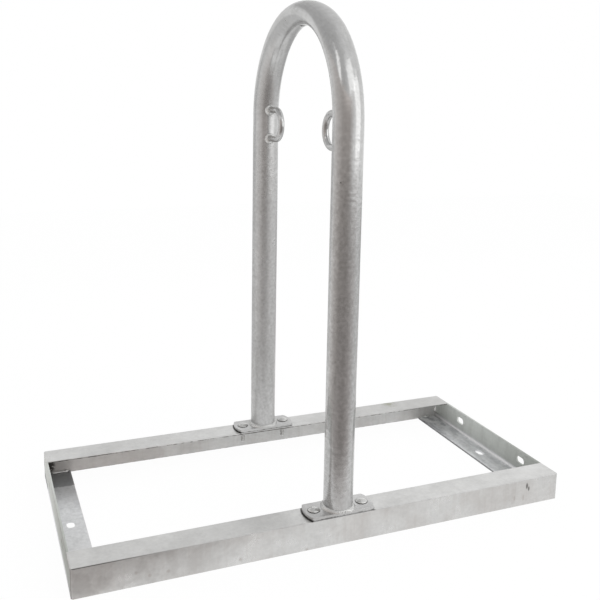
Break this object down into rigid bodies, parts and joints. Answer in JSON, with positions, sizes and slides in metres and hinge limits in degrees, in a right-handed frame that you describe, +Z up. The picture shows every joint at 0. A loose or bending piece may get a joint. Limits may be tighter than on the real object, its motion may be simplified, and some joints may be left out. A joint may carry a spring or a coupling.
{
  "type": "hoop bike rack",
  "caption": "Galvanised steel bicycle stand: a bent-tube hoop with round lock eyes, bolted by foot plates across a rectangular ground frame of steel angle.",
  "frame": {"origin": "on the ground, under the middle of the ground frame", "axes": "+X along the frame's long side, +Y from the front rail to the rear rail, +Z up; the hoop stands in the YZ plane"},
  "size_m": [0.9, 0.4348, 0.9124],
  "materials": {
    "galvanised_steel": "hot-dip galvanised, satin grey zinc with fine runs and pits",
    "zinc_plated_steel": "zinc plated, slightly brighter than the galvanised steel",
    "weld_metal": "weld beads galvanised over, lumpy and bright"
  },
  "bodies": {
    "root": {"right_end_angle": "galvanised_steel", "left_end_angle": "galvanised_steel", "hoop_tube": "galvanised_steel", "front_rail": "galvanised_steel", "front_foot_plate": "galvanised_steel", "front_foot_weld": "weld_metal", "front_lock_eye": "galvanised_steel", "front_eye_upper_weld": "weld_metal", "front_eye_lower_weld": "weld_metal", "front_left_bolt": "zinc_plated_steel", "front_left_washer": "zinc_plated_steel", "front_left_nut": "zinc_plated_steel", "front_right_bolt": "zinc_plated_steel", "front_right_washer": "zinc_plated_steel", "front_right_nut": "zinc_plated_steel", "rear_rail": "galvanised_steel", "rear_foot_plate": "galvanised_steel", "rear_foot_weld": "weld_metal", "rear_lock_eye": "galvanised_steel", "rear_eye_upper_weld": "weld_metal", "rear_eye_lower_weld": "weld_metal", "rear_left_bolt": "zinc_plated_steel", "rear_left_washer": "zinc_plated_steel", "rear_left_nut": "zinc_plated_steel", "rear_right_bolt": "zinc_plated_steel", "rear_right_washer": "zinc_plated_steel", "rear_right_nut": "zinc_plated_steel", "front_left_standing_weld": "weld_metal", "front_left_lying_weld": "weld_metal", "front_right_standing_weld": "weld_metal", "front_right_lying_weld": "weld_metal", "rear_left_standing_weld": "weld_metal", "rear_left_lying_weld": "weld_metal", "rear_right_standing_weld": "weld_metal", "rear_right_lying_weld": "weld_metal"}
  },
  "joints": []
}
